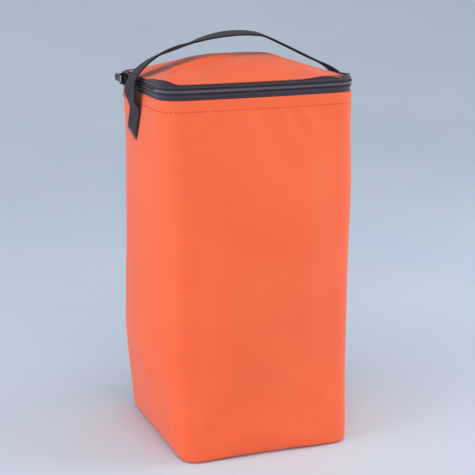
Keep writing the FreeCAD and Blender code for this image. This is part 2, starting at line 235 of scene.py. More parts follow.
def foot_rows(radius, steps):
    """Quarter circle from base to wall: inset r (1 - cos a), height r (1 - sin a)."""
    a = np.linspace(0, np.pi / 2, steps)
    return radius * (1 - np.cos(a)), radius * (1 - np.sin(a))


print("a step at its middle is", step(0.0, 0.0, 1.0))
print("a bell one spread away is", near(1.0, 0.0, 1.0).round(2))

# %% [markdown]
# ## The rows of the cover
# The front of the foot leans forward and the right side is fuller above than below, as a
# soft bag's are once it has been packed and put down. A tail of the handle is sewn on flat,
# so the cloth under it must not swell.

# %% Lay out the cover's rows
def cover_rows(columns, slack=0.0):
    """Points of the padded wall and base, from the base's middle to the hem's inside.

    The wall between foot and hem is moved inwards by slack, to leave room for swelling. The
    foot's front moves forward by 9 e^(-(z / 55)^2), more at the right. The right wall moves
    out at 225 mm and in at the foot, and the left wall moves out below its middle.
    """
    foot_z, foot_inset = foot_rows(5.0, 5)
    base_inset = np.array([70.0, 60, 50, 40, 30, 22, 16, 11, 8])
    base_z = 0.8 * np.clip((base_inset - 6) / 20, 0, 1)
    wall_z = np.linspace(8.0, cover_height - 8.0, 82)
    hem_turn = np.linspace(0, np.pi, 7)
    hem_z = cover_height - 0.8 + 0.8 * np.sin(hem_turn)
    hem_inset = 0.6 - 0.9 * np.cos(hem_turn)
    below_z, inside_z = cover_height - np.array([5.0, 2.5]), cover_height - np.array([4.0, 8.0])
    heights = np.concatenate([base_z, foot_z, wall_z, below_z, hem_z, inside_z])
    insets = np.concatenate([base_inset, foot_inset, 0 * wall_z, [0.0, -0.2], hem_inset,
                             [1.3, 1.3]])
    fade = np.clip((heights - 5) / 20, 0, 1) * np.clip((rim_start + 5 - heights) / 25, 0, 1)
    points = stack_rows(body_outline(heights, insets + slack * fade, columns), heights)
    x, y, z = np.moveaxis(points, -1, 0)
    wall = np.clip(1.6 - insets / 40, 0, 1)[:, None]
    front = step(-y, 45.0, 6.0) * (0.7 + 0.45 * step(x, 20, 20))
    y = y - 9.0 * front * np.exp(-((np.clip(z, 0, None) / 55) ** 2)) * wall
    x = x + wall * step(x, 30, 8) * (3.4 * near(z, 225, 55) - 5.6 * near(z, 12, 55))
    x = x - wall * step(-x, 30, 8) * (4.8 * near(z, 85, 52) + 1.0 * near(z, 210, 60))
    return np.stack([x, y, z], -1)


def tail_patch(x, y, z):
    """1 where a webbing tail is sewn on, 0 elsewhere, with soft edges."""
    across = step(-np.abs(y - handle_centre_y), -14.5, 1.2)
    upward = step(-np.abs(z - 273.0), -19.0, 1.5)
    return across * upward * (np.abs(x - mouth_shift_x) > 60)


print("the cover has", len(cover_rows(12)), "rows")

# %% [markdown]
# ## From rows to a cover
# Otherwise it starts smaller than the pattern wherever it isn't sewn down, so that the
# swelling brings it back to size.

# %% Make the cover
COLUMNS = 168
SLACK = 2.2
cover_points = cover_rows(COLUMNS)
sewn = tail_patch(*np.moveaxis(cover_points, -1, 0))[..., None]
cover_points = cover_points * sewn + cover_rows(COLUMNS, slack=SLACK) * (1 - sewn)
cover_faces = grid_faces(len(cover_points), COLUMNS) + end_faces(len(cover_points), COLUMNS)[:1]
cover = put_mesh("padded_cover", cover_points, cover_faces)
print("cover:", cover_points.shape[0], "rows of", COLUMNS, "points")

# %% [markdown]
# ## Let the padding swell
# Foam pushes the cloth out between its seams. Blender's cloth, inflated a little and held
# at the hem and at the foot, gives those soft swellings better than a formula would. Its
# moves away from the pattern are then rounded off at a cap, so that the bag keeps its size.

# %% Write the inflating step
def outward(points):
    """Directions in plan away from the bag's middle, for points in metres."""
    away = points * [1, 1, 0] - np.array([mouth_shift_x, mouth_shift_y, 0]) * MM / 2
    return away / np.linalg.norm(away, axis=1, keepdims=True)


def inflate(piece, held, pattern, pressure, cap, frames=20):
    """Cloth under pressure with the held points fixed.

    A point that lies a distance d from its place on the pattern ends up cap tanh(d / cap)
    from it, in the same direction. Moves towards the inside are cut to about a third.
    """
    rest = np.zeros(len(piece.data.vertices) * 3)
    piece.data.vertices.foreach_get("co", rest)
    group = piece.vertex_groups.new(name="sewn")
    group.add(np.flatnonzero(held).tolist(), 1.0, "REPLACE")
    cloth = piece.modifiers.new("cloth", "CLOTH")
    cloth.settings.vertex_group_mass = "sewn"
    cloth.settings.use_pressure = True
    cloth.settings.uniform_pressure_force = pressure
    cloth.settings.effector_weights.gravity = 0
    cloth.settings.tension_stiffness = 15
    cloth.settings.compression_stiffness = 15
    cloth.settings.bending_stiffness = 8
    cloth.settings.shrink_min = -0.012
    cloth.settings.quality = 6
    cloth.point_cache.frame_start, cloth.point_cache.frame_end = 1, frames
    for number in range(1, frames + 1):
        bpy.context.scene.frame_set(number)
    shape = piece.evaluated_get(bpy.context.evaluated_depsgraph_get()).data
    swollen = np.zeros(len(shape.vertices) * 3)
    shape.vertices.foreach_get("co", swollen)
    piece.modifiers.remove(cloth)
    piece.vertex_groups.remove(group)
    bpy.context.scene.frame_set(1)
    pattern = pattern.reshape(-1, 3) * MM
    move = swollen.reshape(-1, 3) - pattern
    far = np.linalg.norm(move, axis=1, keepdims=True)
    limit = cap * MM
    move *= limit * np.tanh(far / limit) / np.maximum(far, 1e-9)
    move[:, :2] *= np.where((move * outward(pattern)).sum(1) < 0, 0.35, 1.0)[:, None]
    piece.data.vertices.foreach_set("co", (pattern + move).ravel())
    piece.data.update()
    print(piece.name, "lies up to", (far.max() / MM).round(1), "mm off its pattern before the cap")


print("inflating", "takes a few seconds")

# %% [markdown]
# ## Swell the cover
# The hem, the edge of the base and the cloth under the handle's tails are sewn, so they are
# held. The pressure is low: foam is soft, and the real bag's walls are nearly flat.

# %% Inflate the cover
cover_z = cover_points[..., 2].ravel()
under_tails = tail_patch(*cover_points.reshape(-1, 3).T) > 0.5
held = (cover_z > rim_start + 1) | (cover_z < 3) | under_tails
inflate(cover, held, cover_rows(COLUMNS), pressure=0.6, cap=SLACK)
refine(cover)
print("held points of the cover:", int(held.sum()), "of", held.size)

# %% [markdown]
# ## The lid's cushion
# The lid is a soft dome sewn to the upper tape, and its height rises in from the edge.
# A shallow fold runs from the front left corner to the middle, and the cushion swells
# behind it. The edge also droops over the tape by a different amount along the front. The
# functions below say where each of these happens; they take plain x and y, so that the
# zipper's tape and the hinge's ribbon can follow the same edge later.

# %% Describe the lid's edge and fold
def lid_outline(inset, count):
    """The mouth's outline moved inwards by inset, as rows of (x, y)."""
    inset = np.asarray(inset, float).reshape(-1, 1)
    width, depth = mouth_width - 2 * inset, mouth_depth - 2 * inset
    one = np.ones_like(inset)
    ring = outline(width, depth, np.clip(mouth_corner_front - 0.3 * inset, 1, 0.42 * depth),
                   np.clip(mouth_corner_back - 0.3 * inset, 1, 0.46 * depth), 0 * one,
                   mouth_front_crown * (1 - inset / 63), mouth_shift_x * one, mouth_shift_y * one)
    return even(ring, count)


def right_end(x):
    """1 along the right side of the mouth, 0 elsewhere."""
    return step(x, 64.0, 3.0)


def back_left(x, y):
    """1 round the left back corner of the mouth, 0 elsewhere."""
    return step(-x, 62.0, 4.0) * step(y, -8.0, 9.0)


def lid_edge(x, y):
    """Height of the orange edge: lifted at the front left corner, low at both ends."""
    corner = step(-x, 80.5, 1.4) * step(-y, 44.0, 6.0)
    swell = near(x, 48, 13) * step(-y, 50, 3)
    ends = 2.6 * right_end(x) + 2.2 * back_left(x, y)
    return zip_top - 1.1 + 3.6 * corner + 1.7 * swell - ends


def exposed_tape(x, y):
    """How far the upper tape stands above the orange edge: only at the right front corner."""
    return 0.1 + 2.9 * right_end(x) * step(-y, 40.0, 10.0)


def fold_distance(x, y):
    """Signed distance in plan from the fold's line, positive towards the back.

    The line starts at the front left corner, bends to the right as an exponential and then
    runs slowly backwards in a straight line.
    """
    x = np.maximum(x, -83.0)
    line = -54.0 + 16.0 * (1 - np.exp(-(x + 74) / 9)) + 0.32 * np.clip(x + 50, 0, None)
    return y - line


print("lid's edge at the middle of the front:", lid_edge(0.0, mouth_front).round(1), "mm")

# %% [markdown]
# ## The lid's surface
# Rings run from the turned-in edge to the crown. The ends slope straight like a tent, the
# front and back are round, and the fold is a narrow bell taken away beside a wide one added.

# %% Build the lid's cushion
def lid_rows(columns):
    """Points of the lid's cushion from its turned-in edge to the crown.

    Height is the edge plus the rise times 1 - (1 - d)^p, where d is the way in from the edge.
    p is 2 at the front and back and nearly 1 at the two ends, which slope like a tent. The
    crown is a little lower on the left.
    """
    s = np.concatenate([[0, 0, 0, 0.004, 0.012], np.linspace(0.03, 1, 40)])
    drop = np.concatenate([[1.0, 0.45, 0.1, 0, 0], np.zeros(40)])
    roll = np.concatenate([[1.4, 0.1, -0.5, -0.6, -0.3], np.zeros(40)])
    rings = lid_outline(s * (mouth_depth / 2 - 1.5) + roll, columns)
    tangent = np.roll(rings, -1, axis=1) - np.roll(rings, 1, axis=1)
    tangent /= np.linalg.norm(tangent, axis=2, keepdims=True)
    inward = np.stack([-tangent[..., 1], tangent[..., 0]], -1)
    tuck = 2.6 * right_end(rings[..., 0]) + 3.4 * back_left(rings[..., 0], rings[..., 1])
    rings = rings + inward * (tuck * np.exp(-7 * s)[:, None])[..., None]
    x, y = rings[..., 0], rings[..., 1]
    d = np.clip(s * (mouth_depth / 2) / lid_turn, 0, 1)[:, None]
    power = 2.0 - 1.0 * np.clip((x - 14) / 18, 0, 1) - 0.8 * np.clip((-x - 18) / 30, 0, 1)
    crown = zip_top + lid_rise + 0.8 - 1.5 * step(-x, 32, 6)
    edge = lid_edge(x[2:3], y[2:3]) * np.ones_like(x)
    z = edge - drop[:, None] + (crown - edge) * (1 - (1 - d) ** power)
    across = fold_distance(x, y)
    along = np.clip((x + 80) / 12, 0, 1) * np.clip((12 - x) / 45, 0, 1) * np.clip(d * 14, 0, 1)
    z = z - 3.2 * along * near(across, 0, 1.5) + 1.8 * along * near(across, 7, 5)
    return rings, z


lid_xy, lid_z = lid_rows(COLUMNS)
lid_points = np.concatenate([lid_xy, lid_z[..., None]], -1)
lid_faces = grid_faces(len(lid_points), COLUMNS) + end_faces(len(lid_points), COLUMNS)[1:]
lid = put_mesh("lid_cushion", lid_points, lid_faces)
sewn_edge = np.repeat(np.arange(len(lid_points)) < 6, COLUMNS)
inflate(lid, sewn_edge, lid_points, pressure=0.3, cap=0.5, frames=12)
refine(lid)
print("lid top at", round(float(lid_z.max()), 1), "mm")

# %% [markdown]
# ## The line of the zipper
# Tapes, teeth and stitches all follow one line round the mouth: up the left side, across
# the front and down the right side, stopping short of the hinge at both ends.

# %% Work out the zipper's line
def zip_line(count):
    """Points at equal distances along the open line, their tangents and outward normals."""
    ring = body_outline(rim_start, 0.0, 1440)[0]
    inside = np.flatnonzero(ring[:, 1] <= zip_end_y)
    path = ring[inside[0]:inside[-1] + 1]
    walked = np.concatenate([[0], np.cumsum(np.linalg.norm(np.diff(path, axis=0), axis=1))])
    at = np.linspace(0, walked[-1], count)
    points = np.stack([np.interp(at, walked, path[:, 0]), np.interp(at, walked, path[:, 1])], -1)
    tangent = np.gradient(points, axis=0)
    tangent /= np.linalg.norm(tangent, axis=1, keepdims=True)
    outward = np.stack([tangent[:, 1], -tangent[:, 0]], -1)
    return points, tangent, outward, walked[-1]


zip_length = zip_line(400)[3]
print("zipper line is", round(float(zip_length), 1), "mm long")

# %% [markdown]
# ## Carrying a section along a line
# Tapes and ribbons are one closed section moved along a line. A curve with a bevel would do
# for a steady section, but these change along the way, which arrays allow.

# %% Sweep a section
def sweep(name, profile, points, outward):
    """A closed section of (outward offset, height) carried along a line, with both ends capped.

    Each point is the line's point plus offset times the outward direction, at the height.
    The section may change along the line, when it has one more axis in front.
    """
    profile = np.broadcast_to(profile, (len(points),) + np.shape(profile)[-2:])
    flat = points[:, None, :] + outward[:, None, :] * profile[..., :1]
    return ring_solid(name, np.concatenate([flat, profile[..., 1:]], -1))


square = np.array([(0, 0), (1, 0), (1, 1), (0, 1)])
print("a section has rows of (offset, height), such as", square.tolist())

# %% [markdown]
# ## Zipper tapes
# Each tape is a woven ribbon with a round cord next to its teeth and a raised seam where
# the fabric is sewn to it. Sweeping a closed section along the zipper's line gives the
# cords their steady shape, and the upper tape's top edge follows the lid's edge. The weave
# itself is far too fine for a mesh, and comes with the finish.

# %% Weave the two tapes
def tape_section(far, near_edge):
    """Closed section: flat back, front with two rounded ridges between far and near_edge.

    The front's offset is a flat ground plus a bell 2.7 mm and a lower one 5.6 mm from the edge.
    """
    v = np.linspace(0, 1, 25)
    z = far + (near_edge - far) * v
    from_edge = np.abs(z - near_edge)
    front = -1.2 + 1.5 * near(from_edge, 2.7, 0.8) + 0.8 * near(from_edge, 5.6, 0.7)
    front = np.where(v > 0.97, -1.5, front)
    back = np.full_like(z, -2.2)
    return np.concatenate([np.stack([front, z], -1), np.stack([back, z], -1)[::-1]])


tape_points, _, tape_out, _ = zip_line(260)
lower_section = tape_section(rim_start + 6.0, zip_centre - 0.8)
lower_tape = sweep("lower_zip_ribbon", lower_section[::-1], tape_points, tape_out)
tops = lid_edge(*tape_points.T) + exposed_tape(*tape_points.T)
upper_section = np.stack([tape_section(top, zip_centre + 0.8) for top in tops])
upper_tape = sweep("upper_zip_ribbon", upper_section, tape_points, tape_out)
print("upper tape reaches", round(float(tops.max()), 1), "mm")

# %% [markdown]
# ## The zipper's teeth
# The chain is a fine moulded coil. One turn of it is a small rounded bar, copied along the
# line at a steady pitch; the lid's turns sit half a pitch from the body's, so that they mesh.
# An array modifier could do that on a curve, but one mesh of a few hundred small bars is
# lighter. So a bar comes first, and then a function that copies any small shape.

# %% Make one turn and copy it
def bead(length, thick, sides=6, rings=4):
    """A rounded bar along the first axis: radius thick/2 times the root of 1 - (2x/length)^4."""
    x = np.linspace(-1, 1, rings) * 0.96
    radius = thick / 2 * (1 - x ** 4) ** 0.5
    a = np.arange(sides) * 2 * np.pi / sides
    ring = np.stack([np.broadcast_to(x[:, None] * length / 2, (rings, sides)),
                     radius[:, None] * np.cos(a), radius[:, None] * np.sin(a)], -1)
    return ring.reshape(-1, 3), grid_faces(rings, sides) + end_faces(rings, sides)


def scatter(name, template, faces, places, axes):
    """Copies of a small shape: a point is a place plus its coordinates times three axes."""
    points = places[:, None, :] + np.einsum("pk,nkc->npc", template, axes)
    count = len(template)
    lists = [[v + i * count for v in f] for i in range(len(places)) for f in faces]
    return put_mesh(name, points, lists)


print("one turn has", len(bead(2.4, 0.66)[1]), "faces")

# %% [markdown]
# ## The two rows of the coil
# Each turn reaches from its own tape over the middle line and leans a little along it. On
# the left, where the slider runs, the tips stop short and leave its post a way through.

# %% Lay the two rows
def coil_row(name, side, pitch=1.5, free_end=8.0, fine=4000):
    """One row of coil turns; side is +1 for the lid's row and -1 for the body's."""
    count = int((zip_length - 2 * free_end) / pitch)
    points, tangent, outward, length = zip_line(fine)
    at = free_end + (np.arange(count) + (0.5 if side > 0 else 0)) * pitch
    pick = np.round(at / length * (fine - 1)).astype(int)
    points, tangent, outward = points[pick], tangent[pick], outward[pick]
    sliding = (points[:, 0] < mouth_shift_x) & (points[:, 1] > -58)
    tip = np.where(sliding, -0.6, 0.4)
    middle = zip_centre + side * (2.0 - tip) / 2
    places = np.concatenate([points + outward * 0.05, middle[:, None]], -1)
    up = np.zeros((count, 3))
    up[:, 2] = 1
    flat = np.zeros((count, 1))
    along, out = np.concatenate([tangent, flat], -1), np.concatenate([outward, flat], -1)
    lean = up * (2.0 + tip)[:, None] / 2.4 + 0.16 * along
    axes = np.stack([lean, out, along], 1)
    template, faces = bead(2.4, 0.66)
    template[:, 1] *= 2.2
    return scatter(name, template, faces, places, axes)


lower_coil = coil_row("lower_coil", -1)
upper_coil = coil_row("upper_coil", 1)
print("coil turns have", len(lower_coil.data.polygons), "faces in all")

# %% [markdown]
# ## The hinge binding
# At the back, a black ribbon covers the join of lid and body and is the hinge. It is one
# strip from the cover to the lid, in many short rows; two separate leaves would gape at the join.

# %% Sew the hinge binding
def back_line(count):
    """The mouth's outline behind the zipper's ends, from right to left round the back."""
    ring = np.roll(body_outline(rim_start, 0.0, 1440)[0], 720, axis=0)
    inside = np.flatnonzero(ring[:, 1] >= zip_end_y)
    pick = np.linspace(inside[0], inside[-1], count).round().astype(int)
    points = ring[pick]
    tangent = np.gradient(points, axis=0)
    tangent /= np.linalg.norm(tangent, axis=1, keepdims=True)
    return points, np.stack([tangent[:, 1], -tangent[:, 0]], -1)


def binding_section(top):
    """Closed section: outside swells over two sewn edges, inside lies on the cover."""
    z = np.linspace(rim_start + 0.3, top, 31)
    seams = near(z, rim_start + 3.5, 1.6) + near(z, zip_top - 4.0, 1.4)
    puff = 0.95 + 0.25 * seams - 0.35 * near(z, zip_centre - 0.5, 1.5)
    puff[0], puff[-1] = 0.45, 0.45
    outside = np.stack([puff, z], -1)
    inside = np.stack([np.full_like(z, 0.15), z], -1)[::-1]
    return np.concatenate([outside, inside])


back_points, back_out = back_line(120)
binding_tops = lid_edge(*back_points.T) + 0.4
binding_rows = np.stack([binding_section(top)[::-1] for top in binding_tops])
binding = sweep("hinge_binding", binding_rows, back_points, back_out)
print("binding faces:", len(binding.data.polygons))

# %% [markdown]
# ## Lining
# Inside, a smooth lining covers the padding, with a bound edge round the mouth. It is a
# closed shell: up its hidden side, over the bound edge and down to the bag's floor. A plain
# sheet with a Solidify modifier would do as well, but here the rows draw the binding too.

# %% Build the lining
def lining_rows(columns):
    """Points of the lining from its hidden underside, over the mouth's bound edge, to the floor."""
    rows = [(9.0, 68), (9.0, 30), (9.0, 12), (10.0, 7.0), (150.0, 7.0), (296.0, 7.0), (300.9, 6.6),
            (301.0, 4.6), (301.4, 4.3), (304.0, 4.3), (306.0, 4.3), (306.5, 4.8), (306.6, 5.6),
            (306.6, 6.6), (306.4, 7.5), (305.6, 8.0), (304.0, 8.0)]
    rows += [(z, 8.0) for z in np.linspace(300, 20, 57)]
    rows += [(16.0, 8.3), (13.0, 9.3), (11.2, 11.5), (10.4, 15.0), (10.1, 22.0), (10.0, 32.0),
             (10.0, 50.0), (10.0, 69.0)]
    rows = np.array(rows)
    z, inset = rows[:, 0], rows[:, 1]
    inset = inset + 0.35 * np.sin(z / 17.0) * ((z > 25) & (z < 290) & (np.arange(len(z)) > 16))
    return stack_rows(body_outline(z, inset, columns), z)


INNER_COLUMNS = 120
lining = ring_solid("lining", lining_rows(INNER_COLUMNS))
print("lining faces:", len(lining.data.polygons))

# %% [markdown]
# ## The lid's inner panel
# Under the lid is a padded panel of the same cloth, whose border lies flat against the tape
# and whose middle swells down into the mouth. The foam behind it is thin, so a smooth rise to
# a power of its distance from the border is enough, and keeps clear of the lining's edge.

# %% Build the lid's inner panel
def lid_panel_rows(columns):
    """Inner face of the lid: a flat border and a padded middle that swells down.

    The swell is 3.2 mm times the 0.6th power of the way in from the border.
    """
    inset = np.array([59, 52, 42, 34, 27, 21, 16, 12.5, 10.5, 9.4,
                      8.4, 6.5, 4.0, 2.9, 2.5, 2.5, 2.9, 12, 40, 59])
    swell = 3.2 * np.clip((inset - 9.4) / 20, 0, 1) ** 0.6
    z = 307.9 - swell
    z[11:] = [307.6, 307.5, 307.7, 308.3, 309.2, 309.8, 310.0, 310.0, 310.0]
    points = stack_rows(body_outline(np.full(len(z), rim_start), inset, columns), z)
    x, y, z = np.moveaxis(points, -1, 0)
    z -= 1.3 * (z > 308.5) * (right_end(x) + back_left(x, y))
    return points


lid_panel = ring_solid("lid_inner_panel", lid_panel_rows(INNER_COLUMNS))
print("lid panel faces:", len(lid_panel.data.polygons))

# %% [markdown]
# ## The webbing handle
# One length of flat webbing is sewn to the left side, arches over the lid and is sewn to the
# right side. It is swept directly as a flat ribbon, because webbing is stiff across its
# width. Its roll about its own line changes along the way, as a slack strap's does. A cloth
# simulation could find such a line, but a chosen one keeps the hand's room under the loop.

# %% A wall's middle and a smooth curve
def side_face(z, side):
    """X of the cover at the middle of a side wall at height z."""
    t = np.clip(np.asarray(z, float) / rim_start, 0, 1)
    spread = foot_spread * (1 - t) * (1 - np.exp(-np.asarray(z, float) / foot_rise))
    width = base_width + (mouth_width - base_width) * t + spread
    centre = base_shift_x + (mouth_shift_x - base_shift_x) * t
    return centre + side * (width / 2 + side_belly * np.sin(np.pi * t))


def spline(keys, count):
    """Smooth curve through key rows: cubic pieces with their neighbours' slopes, then evened."""
    keys = np.asarray(keys, float)
    slope = np.gradient(keys, axis=0)
    t = np.linspace(0, len(keys) - 1, 40 * len(keys))
    i = np.minimum(t.astype(int), len(keys) - 2)
    f = (t - i)[:, None]
    a, b, m, n = keys[i], keys[i + 1], slope[i], slope[i + 1]
    curve = ((2 * f ** 3 - 3 * f ** 2 + 1) * a + (f ** 3 - 2 * f ** 2 + f) * m
             + (3 * f ** 2 - 2 * f ** 3) * b + (f ** 3 - f ** 2) * n)
    walked = np.concatenate([[0], np.cumsum(np.linalg.norm(np.diff(curve[:, :3], axis=0), axis=1))])
    at = np.linspace(0, walked[-1], count)
    return np.stack([np.interp(at, walked, c) for c in curve.T], -1), walked[-1]


print("the left wall's middle is at", side_face(270.0, -1).round(1), "mm at the tail's height")

# %% [markdown]
# ## The strap's line
# Each key is x, y and z of the strap's middle, then its roll in degrees. The sewn tails
# follow the walls. From there the loop leaves the wall, passes outside the zipper, turns
# over the lid and comes down straight on the right, as a slack strap does. The loop's keys
# began as places picked along the strap as it is seen, which a separate script laid onto a
# plane. They were then rounded and adjusted.

# %% Choose the strap's line
tail_end_z = 265.0
off_wall = 1.15
tail_z = tail_end_z + np.array([0.0, 4.0, 8.5, 13.0])
left_tail = [(side_face(z, -1) - off_wall, -0.3 - (z - tail_end_z) * 0.33, z, 0) for z in tail_z]
right_tail = [(side_face(z, 1) + off_wall, handle_centre_y - 0.8 - (z - tail_end_z) * 0.1, z, 0)
              for z in tail_z[::-1]]
up_the_left = [(-89.6, -6.4, 284.0, 0), (-91.2, -8.4, 289.5, 0), (-94.4, -12.0, 296.5, 1),
               (-95.0, -16.0, 303.5, 2), (-94.8, -17.2, 309.5, 3), (-91.5, -17.4, 315.6, 5)]
over_the_lid = [(-82.2, -17.0, 323.6, 9), (-71.0, -17.0, 329.8, 13), (-59.0, -17.0, 333.9, 15),
                (-46.0, -17.0, 337.3, 11), (-30.0, -16.6, 341.6, 3), (-13.5, -16.0, 344.1, -2),
                (0.0, -15.5, 344.6, -3), (13.4, -15.0, 343.4, -3), (22.0, -14.4, 340.9, -4),
                (32.5, -13.8, 336.2, -4), (48.0, -12.5, 329.0, -4), (64.0, -11.0, 321.4, -4)]
down_the_right = [(79.5, -9.4, 314.5, -3), (89.5, -7.6, 307.6, -1), (92.0, -6.2, 300.8, 0),
                  (88.6, -5.2, 293.6, 0), (83.6, -4.4, 287.6, 0), (81.0, -3.9, 282.6, 0)]
loop = up_the_left + over_the_lid + down_the_right
strap_line, strap_length = spline(left_tail + loop + right_tail, 300)
print("webbing is", round(float(strap_length)), "mm long")

# %% [markdown]
# ## From the line to a flat strap
# At every place the strap has three directions: along it, across its width, and out of its
# face. Its thin section is set out in the last two.

# %% Weave the strap
def ribbon(line):
    """Flat strap: its width points from front to back, turned by the roll about the tangent."""
    middle, roll = line[:, :3], np.radians(line[:, 3])
    tangent = np.gradient(middle, axis=0)
    tangent /= np.linalg.norm(tangent, axis=1, keepdims=True)
    across = np.array([0.0, 1.0, 0.0]) - tangent * tangent[:, 1:2]
    across /= np.linalg.norm(across, axis=1, keepdims=True)
    normal = np.cross(across, tangent)
    wide = across * np.cos(roll)[:, None] + normal * np.sin(roll)[:, None]
    face = np.cross(wide, tangent)
    u = np.linspace(-1, 1, 13)
    half = webbing_thickness / 2 * np.where(np.abs(u) > 0.99, 0.45, 1.0)
    top = np.stack([u * webbing_width / 2, half], -1)
    section = np.concatenate([top, np.stack([u, -half], -1)[::-1] * [webbing_width / 2, 1]])
    points = middle[:, None, :] + wide[:, None, :] * section[:, :1]
    points = points + face[:, None, :] * section[:, 1:]
    return points, tangent, wide, face, section[:, 0]


strap_points, strap_run, strap_wide, strap_face, strap_across = ribbon(strap_line)
strap = ring_solid("webbing_handle", strap_points)
print("webbing grid:", strap_points.shape[0], "by", strap_points.shape[1])

# %% [markdown]
# ## A map for the weave
# The ribs of webbing turn with the strap, so a pattern in plain space would run across them
# at a slant. A map that holds the way along and across the strap carries the pattern instead.

# %% Map the strap
def weave_map(piece, along, across):
    """A map in metres for the weave: u is the way along the strap, v the way across it."""
    flat = np.stack(np.broadcast_arrays(along[:, None], across[None, :]), -1).reshape(-1, 2) * MM
    corners = np.zeros(len(piece.data.loops), int)
    piece.data.loops.foreach_get("vertex_index", corners)
    piece.data.uv_layers.new(name="weave").data.foreach_set("uv", flat[corners].ravel())


strap_along = np.linspace(0, strap_length, len(strap_points))
weave_map(strap, strap_along, strap_across)
print("map of the strap:", len(strap.data.uv_layers["weave"].data), "corners")

# %% [markdown]
# ## Stitches
# Stitches are what make sewn cloth look sewn. Each is a tiny rounded bar of thread lying in
# the cloth, copied along its seam line. A texture could draw them, but real bars catch the
# light and keep their place when the picture comes close.

# %% Sew the row below the zipper
def stitch_row(name, points, tangents, normals, length=1.6, thick=0.95):
    """Thread bars at the given points, along the tangents, lifted a little along the normals."""
    template, faces = bead(length, thick)
    axes = np.stack([tangents, normals, np.cross(tangents, normals)], 1)
    return scatter(name, template, faces, points + normals * thick * 0.2, axes)


def mouth_stitches(name, z, pitch, lift):
    """Stitches round the front of the bag at height z, standing lift millimetres off the cover."""
    count = int(zip_length / pitch)
    points, tangent, outward, _ = zip_line(count)
    flat = np.zeros((count, 1))
    places = np.concatenate([points + outward * lift, flat + z], -1)
    along, out = np.concatenate([tangent, flat], -1), np.concatenate([outward, flat], -1)
    return stitch_row(name, places, along, out)


top_stitches = mouth_stitches("cover_topstitches", rim_start + 3.2, pitch=3.2, lift=0.0)
print("topstitch faces:", len(top_stitches.data.polygons))

# %% [markdown]
# ## The sewn boxes on the handle's tails
# A strap that carries weight is sewn on with a rectangle and a cross in it. One line runs
# through the corners in turn, and its stitches lie in the strap's own directions.

# %% Sew the boxes
box_length, box_margin = 15.0, 3.0


def box_stitches(name, start, side):
    """A sewn rectangle with a cross on a tail, whose outer face is on the given side."""
    end, far, half = 0.0, box_length, 9.0
    corners = np.array([(end, -half), (end, half), (far, half), (far, -half),
                        (end, -half), (far, half), (far, -half), (end, half)])
    walked = np.concatenate([[0], np.cumsum(np.linalg.norm(np.diff(corners, axis=0), axis=1))])
    at = np.arange(1.2, walked[-1], 2.4)
    along, across = np.interp(at, walked, corners[:, 0]), np.interp(at, walked, corners[:, 1])
    heading = np.stack([np.interp(at + 0.3, walked, c) - np.interp(at - 0.3, walked, c)
                        for c in corners.T], -1)
    heading /= np.linalg.norm(heading, axis=1, keepdims=True)
    row = np.searchsorted(strap_along, start + along).clip(0, len(strap_along) - 1)
    normals = strap_face[row] * np.sign(strap_face[row][:, :1]) * side
    places = strap_line[row, :3] + strap_wide[row] * across[:, None]
    places = places + normals * webbing_thickness / 2
    tangents = strap_run[row] * heading[:, :1] + strap_wide[row] * heading[:, 1:]
    return stitch_row(name, places, tangents, normals, length=1.7, thick=0.5)


left_box = box_stitches("left_box_stitches", box_margin, -1)
right_box = box_stitches("right_box_stitches", strap_length - box_length - box_margin, 1)
print("faces of one sewn box:", len(left_box.data.polygons))

# %% [markdown]
# ## Finishes
# Every material is procedural. A small helper starts one with its plain numbers on the
# shader's own sockets, and each finish then adds its colour and its bump.

# %% Read a colour
def srgb(r, g, b):
    """A colour from 0 to 255 as Blender's linear one."""
    c = np.array([r, g, b]) / 255
    linear = np.where(c <= 0.04045, c / 12.92, ((c + 0.055) / 1.055) ** 2.4)
    return (*linear.tolist(), 1.0)


print("the cover's orange in linear light:", [round(c, 3) for c in srgb(248, 104, 61)])

